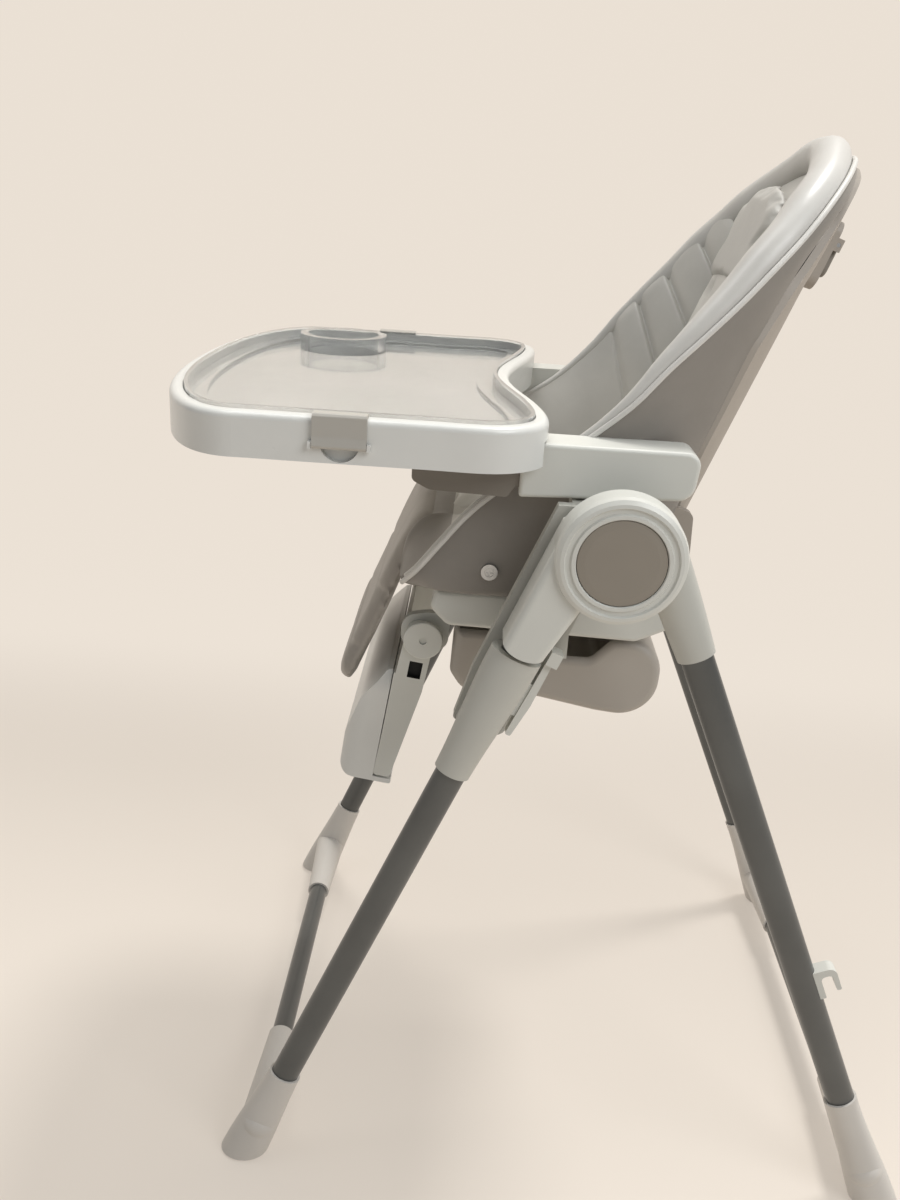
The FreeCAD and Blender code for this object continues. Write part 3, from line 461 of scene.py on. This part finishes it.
# the seams across the sides, each by its station at the fold and at the rim
SEAMS = ((8.3, 8.9), (9.9, 9.7), (11.1, 10.8), (12.3, 12.2), (13.5, 13.4))
SEAM_WIDTH, SEAM_DEPTH, PUFF = 0.095, 5.5, 7.5  # in stations, and in millimetres in and out
RIM_RADII = [(0, 3.0), (5, 3.4), (7, 4.6), (8.5, 7.5), (10, 12.0), (12, 17.0), (14, 19.0), (17, 19.0)]
CREST_HEIGHTS = [(0, 1.40), (13, 1.36), (15, 0.5), (LAST, 0.0)]  # of the side's top, in rim radii
CREASE_DEPTH, SIDE_BOW = 3.0, 3.0
WOBBLE_SCALE, WOBBLE_SHIFT, WOBBLE_IN, WOBBLE_OUT = 0.017, (3.1, 7.7), 1.1, 0.6
ROLL_IN, ROLL_UP, ROLL_FLAT, ROLL_WOBBLE = 0.98, 0.50, 0.96, 0.035  # of the rim roll, in rim radii
PIPING_RADIUS, PIPING_OUT = 2.6, 1.2
RUN_STEP = 0.3  # stations ahead and behind that give the direction of the rim


def between(table, value):
    """Straight-line reading of a table of (place, value)."""
    for (a, low), (b, high) in zip(table, table[1:]):
        if value <= b:
            return low + (high - low) * max(value - a, 0) / (b - a)
    return table[-1][1]


def station(s):
    """The values of STATIONS read at any place s between them."""
    rows = [[*a, *b, *c, *d, e] for a, b, c, d, e in STATIONS]
    v = spline(rows, s)
    return (v[0], v[1]), v[2:5], v[5:8], (v[8], v[9]), v[10]


def rim_stop(s):
    """Point of the left piped edge at station s, the way inwards from it and the way out of the rim."""
    ahead = Vector(station(min(s + RUN_STEP, LAST))[1])
    behind = Vector(station(max(s - RUN_STEP, 0))[1])
    run = (ahead - behind).normalized()
    rise = Vector((0, -run.z, run.y)).normalized()
    return Vector(station(s)[1]), rise.cross(run), rise


def half_section(s):
    """Left half of the cover's section at station s: the front middle, the inner side up to the crest of the
    rolled rim, the piped edge, the outer side and the rear middle."""
    (by, bz), _, (ox, oy, oz), (qy, qz), flat = station(s)
    edge, inward, rim_up = rim_stop(s)
    radius = between(RIM_RADII, s)
    crest = edge + inward * radius + rim_up * (between(CREST_HEIGHTS, s) * radius)
    up = Vector((0, crest.y - by, crest.z - bz))
    rise = max(up.length, 1e-6)
    up.normalize()
    spread = crest.x - flat
    dip = min(CREASE_DEPTH, 0.1 * rise)
    profile = [(0, 0), (flat * 0.6, 0), (flat * 0.93, 0), (flat, -dip), (flat + spread * 0.20, rise * 0.24),
               (flat + spread * 0.50, rise * 0.58), (crest.x - spread * 0.14, rise * 0.90), (crest.x, rise)]
    points = [Vector((x, by, bz)) + up * h for x, h in resample(profile, INNER)]
    foot, middle = Vector((ox, oy, oz)), Vector((0, qy, qz))
    for i in range(OUTER + 1):
        f = i / OUTER
        bow = Vector((SIDE_BOW * sin(pi * f) * min(edge.x / 60, 1.0), 0, 0))
        points.append(edge.lerp(foot, f) + bow)
    for i in range(1, REAR + 1):
        points.append(foot.lerp(middle, i / REAR))
    return points


def quilting(s, across):
    """How far the padding of the sides stands out at station s; across is 0 at the fold and 1 at the rim."""
    lines = [low + (high - low) * across for low, high in SEAMS]
    sewn = max(exp(-(((s - line) / SEAM_WIDTH) ** 2)) for line in lines)
    puff = 0.0
    for low, high in zip(lines, lines[1:]):
        if low < s < high:
            puff = sin(pi * (s - low) / (high - low)) ** 0.5
    return PUFF * puff - SEAM_DEPTH * sewn


def build_cover():
    """Closed bucket of sections from the front of the seat to the top of the back, its inside faces in a
    lighter copy of the leatherette as painted light.
    """
    verts = []
    ring_size = None
    for r in range(ROWS):
        s = LAST * r / (ROWS - 1)
        half = half_section(s)
        flat_half = list(half)
        for j in range(FOLD, INNER - 2):
            across = (j - FOLD) / (INNER - FOLD)
            run = (flat_half[j + 1] - flat_half[j - 1]).normalized()
            out = Vector((-abs(run.z) - 0.3, run.y * -0.2, 0.3)).normalized()
            side = min(1.0, (j - FOLD) / 2.5) * min(1.0, (INNER - 2 - j) / 3.0)
            half[j] = half[j] + out * (side * quilting(s, across))
        for j in range(1, len(half) - 1):
            wobble = noise.noise(half[j] * WOBBLE_SCALE + Vector((*WOBBLE_SHIFT, s * 0.2)))
            wobble *= WOBBLE_IN if j < INNER else WOBBLE_OUT
            half[j] = half[j] + Vector((0, -0.5, 0.9)) * wobble
        ring = half + [Vector((-p.x, p.y, p.z)) for p in reversed(half[1:-1])]
        ring_size = len(ring)
        verts += [p * MM for p in ring]
    faces = grid_faces(ROWS, ring_size, close_columns=True)
    faces.append(tuple(range(ring_size)))
    faces.append(tuple(range((ROWS - 1) * ring_size, ROWS * ring_size)))
    # the inside faces get the lighter copy of the leatherette: painted light
    first = int(LIT_INSIDE_SKIN_FROM / LAST * ROWS)
    inside = [i * ring_size + j for i in range(first, ROWS - 1) for j in range(ring_size)
              if j < INNER - 1 or j > ring_size - INNER]
    return new_object("seat_cover", verts, faces, MATERIALS["skin"], MATERIALS["lit_inside"], inside)


def rim_bead(name, material, start, place):
    """Bead along the whole rim from station start, mirrored at the top; place(s, edge, inward, rise) gives
    its centre and its two half sizes."""
    left = []
    for r in range(BEAD_STOPS):
        s = start + (LAST - start) * r / (BEAD_STOPS - 1)
        edge, inward, rise = rim_stop(s)
        centre, wide, high = place(s, edge, inward, rise)
        left.append((centre, inward, rise, wide, high))
    flip = Vector((-1, 1, 1))
    right = [(c * flip, i * flip, u * flip, w, h) for c, i, u, w, h in reversed(left)]
    return swept(name, left + right, material)


def roll_place(s, edge, inward, rise):
    radius = between(RIM_RADII, s)
    radius *= 1 + ROLL_WOBBLE * noise.noise(Vector((s * 0.9, 2.0, 0.0)))
    centre = edge + inward * (ROLL_IN * radius) + rise * (ROLL_UP * radius)
    return centre, radius, radius * ROLL_FLAT


def piping_place(s, edge, inward, rise):
    return edge - inward * PIPING_OUT, PIPING_RADIUS, PIPING_RADIUS


def across_recline(obj):
    """Bakes the placement of a piece of the cover into its mesh."""
    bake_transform(obj)


cover = subdivide(build_cover())
across_recline(cover)
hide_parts("seat_cushion", "front_roll", "back_cushion", *sides("seat_wing"), *sides("back_wing"))

rim_roll = rim_bead("rim_roll", MATERIALS["band"], 0.4, roll_place)
across_recline(rim_roll)

piping = rim_bead("cover_piping", MATERIALS["piping"], 0.1, piping_place)
across_recline(piping)


# ---------------------------------------------------------------- pads laid in the bucket
PAD_COLUMNS = 24
EDGE_ROLL, EDGE_HEIGHT = 0.28, 0.30  # width of a pad's rolled edge, and the edge's share of the thickness


def pillow(name, outline, thick, place, material, rows):
    """Crowned pad: outline(v) gives the half width at v from 0 to 1 along it; place(x, v, h) puts a point in
    the frame at height h above the surface it lies on. Both faces and the rolled edge are one closed mesh."""
    front, back = [], []
    for i in range(rows + 1):
        v = i / rows
        half = outline(v)
        for j in range(PAD_COLUMNS + 1):
            u = -1 + 2 * j / PAD_COLUMNS
            edge = min(1 - abs(u), 2 * min(v, 1 - v) * 1.6)
            crown = (1 - (1 - min(edge / EDGE_ROLL, 1)) ** 2) ** 0.5
            x = half * sin(u * pi / 2) * 0.35 + half * u * 0.65
            h = thick * (EDGE_HEIGHT + (1 - EDGE_HEIGHT) * crown)
            front.append(place(x, v, h))
            inner = 0 < i < rows and 0 < j < PAD_COLUMNS
            back.append(place(x, v, 0.0 if inner else h * 0.3))
    size = PAD_COLUMNS + 1
    faces = grid_faces(rows + 1, size)
    offset = len(front)
    faces += [tuple(offset + k for k in reversed(f)) for f in grid_faces(rows + 1, size)]
    rim = list(range(size))
    rim += [i * size + PAD_COLUMNS for i in range(1, rows + 1)]
    rim += [rows * size + j for j in range(PAD_COLUMNS - 1, -1, -1)]
    rim += [i * size for i in range(rows - 1, 0, -1)]
    for a, b in zip(rim, rim[1:] + rim[:1]):
        faces.append((a, b, b + offset, a + offset))
    return new_object(name, [Vector(p) * MM for p in front + back], faces, material)


TILT = radians(19.4)  # lean of the back at rest
PIVOT = (80.0, 672.0)  # its hinge (y, z) in millimetres
BACK_FRONT = (0.0, -cos(TILT), sin(TILT))


def on_back(x, z, depth):
    """Point of the backrest, z up the back from its hinge and depth in front of it, in millimetres."""
    y = -depth
    return (x, PIVOT[0] + y * cos(TILT) + z * sin(TILT), PIVOT[1] - y * sin(TILT) + z * cos(TILT))


def back_height(point):
    """Height up the back of a point in the frame, in millimetres."""
    return (point.y - PIVOT[0]) * sin(TILT) + (point.z - PIVOT[1]) * cos(TILT)


def dimple(x, z, centres, reach, depth):
    """Depth at (x, z) of round dents of the given reach about centres."""
    return max(depth * exp(-((x - cx) ** 2 + (z - cz) ** 2) / reach ** 2) for cx, cz in centres)


def groove(value, lines, width, depth):
    """Depth at value of sewn lines of the given width."""
    return max(depth * exp(-(((value - line) / width) ** 2)) for line in lines)


PAD_LOW, PAD_TOP, PAD_ROUND = 66.0, 345.0, 300.0  # heights up the back; the top's curve starts at PAD_ROUND
HEAD_LOW, HEAD_TOP = 272.0, 378.0
BUTTONS = [(side * 45, z) for side in (-1, 1) for z in (158, 211, 262)]
BACK_LINES, SEAT_LINES = (112.0,), (-52.0,)
SEAT_BUTTONS = [(-58, -8), (58, -8)]


def back_outline(v):
    z = PAD_LOW + (PAD_TOP - PAD_LOW) * v
    top = max(0.0, (z - PAD_ROUND) / (PAD_TOP - PAD_ROUND))
    return (82 + 4 * cos((z - 110) / 110)) * max(1 - top ** 2.6, 0.01) ** 0.5


def back_place(x, v, h):
    z = PAD_LOW + (PAD_TOP - PAD_LOW) * v
    return on_back(x, z, 35 - 0.028 * (z - 150) + h)


def back_dents(point):
    z = back_height(point)
    return dimple(point.x, z, BUTTONS, 9.0, 7.0) + groove(z, BACK_LINES, 3.5, 3.0)


back_pad = pillow("back_pad", back_outline, 9, back_place, MATERIALS["pad"], 44)
swollen(back_pad, 0.006)
subdivide(pressed(back_pad, BACK_FRONT, back_dents))
soft_piece(back_pad, "backrest")


def head_outline(v):
    low, high = max(0.0, (0.16 - v) / 0.16), max(0.0, (v - 0.45) / 0.55)
    return 84 * max(1 - high ** 2.3, 0.01) ** 0.5 - 8 * low ** 2


def head_place(x, v, h):
    z = HEAD_LOW + (HEAD_TOP - HEAD_LOW) * v
    return on_back(x, z, 38 - 0.02 * (z - 270) + h)


head = pillow("head_pad_cover", head_outline, 10, head_place, MATERIALS["head"], 26)
subdivide(swollen(head, 0.004))
soft_piece(head, "backrest")
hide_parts("head_pad")


def seat_outline(v):
    return 114 - 10 * (2 * v - 1) ** 4


def seat_place(x, v, h):
    return (x, -136 + 168 * v, 711 - 12 * v + 1.5 * sin(pi * v) + h)


def seat_dents(point):
    return groove(point.y, SEAT_LINES, 4.0, 4.0) + dimple(point.x, point.y, SEAT_BUTTONS, 10.0, 6.0)


seat_pad = pillow("seat_pad", seat_outline, 11, seat_place, MATERIALS["pad"], 26)
swollen(seat_pad, 0.006)
subdivide(pressed(seat_pad, (0, 0, 1), seat_dents))
soft_piece(seat_pad, "seat")


# ---------------------------------------------------------------- flap over the leg rest
# its front face (y, z) in millimetres, from the front edge of the seat to the free end
FLAP_LINE = [(-150, 721), (-168, 702), (-190, 656), (-206, 614), (-222, 574), (-236, 540), (-243, 514)]
FLAP_STEPS, FLAP_DEPTH = 60, 13
FLAP_SEAMS = (0.45, 0.72)


def flap_outline(v):
    return 128 - 6 * v - 30 * max(0.0, (v - 0.84) / 0.16) ** 2.2


def flap_place(x, v, h):
    line = resample(FLAP_LINE, FLAP_STEPS + 1)
    i = v * FLAP_STEPS
    low = min(int(i), FLAP_STEPS - 1)
    (y0, z0), (y1, z1) = line[low], line[low + 1]
    run = Vector((0, y1 - y0, z1 - z0)).normalized()
    front = Vector((0, run.z, -run.y))
    f = i - low
    depth = h - FLAP_DEPTH
    return (x, y0 + (y1 - y0) * f + front.y * depth, z0 + (z1 - z0) * f + front.z * depth)


def flap_dents(point):
    heights = [spline(FLAP_LINE, v * (len(FLAP_LINE) - 1))[1] for v in FLAP_SEAMS]
    return groove(point.z, heights, 3.0, 2.5)


flap = pillow("calf_flap_cover", flap_outline, 14, flap_place, MATERIALS["flap"], 44)
swollen(flap, 0.003)
subdivide(pressed(flap, (0, -0.9, 0.4), flap_dents))
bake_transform(flap)
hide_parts("calf_pad")


# ---------------------------------------------------------------- floor, light and camera
PAPER = (0.815, 0.738, 0.651)  # colour the paper has in the picture
PAPER_SKIN = (0.350, 0.317, 0.282)  # what it reflects; the rest of its colour is its own glow
GLOW = 0.50
GLOW_FROM, GLOW_TO = -0.45, -1.1  # x between which the glow grows from GLOW to full
FLOOR_END, BEND_START, BEND_RADIUS, BEND_STEPS = 4.0, -1.2, 1.6, 12
PAPER_TOP, PAPER_HALF_WIDTH = 7.0, 7.0


def stage_sweep():
    """Pale floor that curves up into a backdrop on the side away from the camera. The backdrop glows evenly,
    and the floor takes shadows."""
    profile = [(FLOOR_END, 0.0), (BEND_START, 0.0)]
    for i in range(1, BEND_STEPS + 1):
        turn = radians(90 * i / BEND_STEPS)
        profile.append((BEND_START - BEND_RADIUS * sin(turn), BEND_RADIUS - BEND_RADIUS * cos(turn)))
    profile.append((BEND_START - BEND_RADIUS, PAPER_TOP))
    verts = [(x, y, z) for x, z in profile for y in (-PAPER_HALF_WIDTH, PAPER_HALF_WIDTH)]
    paper = Shader("studio paper", 0.9)
    place = paper.nodes.new("ShaderNodeSeparateXYZ")
    paper.links.new(paper.coords, place.inputs["Vector"])
    back = paper.nodes.new("ShaderNodeMapRange")
    back.interpolation_type = "SMOOTHSTEP"
    for socket, value in (("From Min", GLOW_FROM), ("From Max", GLOW_TO), ("To Min", GLOW), ("To Max", 1.0)):
        back.inputs[socket].default_value = value
    paper.links.new(place.outputs["X"], back.inputs["Value"])
    paper.links.new(back.outputs["Result"], paper.bsdf.inputs["Emission Strength"])
    paper.bsdf.inputs["Emission Color"].default_value = (*PAPER, 1.0)
    shade = paper.ramp(back.outputs["Result"], [(GLOW, PAPER_SKIN), (1.0, (0.0, 0.0, 0.0))])
    paper.links.new(shade, paper.bsdf.inputs["Base Color"])
    paper.bump(paper.noise(300.0, 2.0), 0.02, 0.001)
    obj = new_object("studio_sweep", verts, grid_faces(len(profile), 2), paper.mat)


def sun_light(name, towards, strength, softness, colour):
    data = bpy.data.lights.new(name, "SUN")
    data.energy = strength
    data.angle = softness
    data.color = colour
    obj = bpy.data.objects.new(name, data)
    obj.rotation_euler = Vector(towards).to_track_quat("-Z", "Y").to_euler()
    bpy.context.scene.collection.objects.link(obj)


def area_light(name, place, target, size, power, colour):
    data = bpy.data.lights.new(name, "AREA")
    data.shape = "RECTANGLE"
    data.size, data.size_y = size
    data.energy = power
    data.color = colour
    obj = bpy.data.objects.new(name, data)
    obj.location = place
    obj.rotation_euler = (Vector(target) - Vector(place)).to_track_quat("-Z", "Y").to_euler()
    bpy.context.scene.collection.objects.link(obj)


CAMERA_AT = Vector((1.1215, -0.1055, 1.0246))
YAW, PITCH, ROLL = radians(1.236), radians(21.784), radians(-3.556)
FOCAL, FRAME_HEIGHT, SENSOR = 1045.75, 1200.0, 36.0


def add_camera():
    """Camera on the child's left, looking down at the side of the chair."""
    turn = Matrix.Rotation(YAW, 3, "Z")
    ahead, right = turn @ Vector((-1, 0, 0)), turn @ Vector((0, 1, 0))
    tip = Matrix.Rotation(-PITCH, 3, right)
    ahead, up = tip @ ahead, tip @ Vector((0, 0, 1))
    roll = Matrix.Rotation(ROLL, 3, ahead)
    right, up = roll @ right, roll @ up
    data = bpy.data.cameras.new("camera")
    data.sensor_width = SENSOR
    data.lens = FOCAL / FRAME_HEIGHT * SENSOR
    data.clip_start = 0.05
    obj = bpy.data.objects.new("camera", data)
    obj.matrix_world = Matrix.Translation(CAMERA_AT) @ Matrix((right, up, -ahead)).transposed().to_4x4()
    bpy.context.scene.collection.objects.link(obj)
    bpy.context.scene.camera = obj


def add_sky(colour, strength):
    world = bpy.data.worlds.new("studio")
    world.use_nodes = True
    background = world.node_tree.nodes["Background"]
    background.inputs["Color"].default_value = (*colour, 1.0)
    background.inputs["Strength"].default_value = strength
    bpy.context.scene.world = world


stage_sweep()
add_sky((0.94, 0.97, 1.0), 0.27)
sun_light("key", (0.32, -0.27, -1.0), 2.15, radians(14), (1.0, 0.985, 0.955))
area_light("fill", (1.3, 1.2, 2.0), (0, 0.05, 0.75), (1.1, 1.1), 22, (0.98, 0.99, 1.0))
area_light("front", (0.15, -0.6, 2.6), (0, 0.1, 0.85), (0.9, 0.9), 12, (1.0, 0.99, 0.97))
add_camera()
bpy.context.scene.view_settings.view_transform = "Standard"
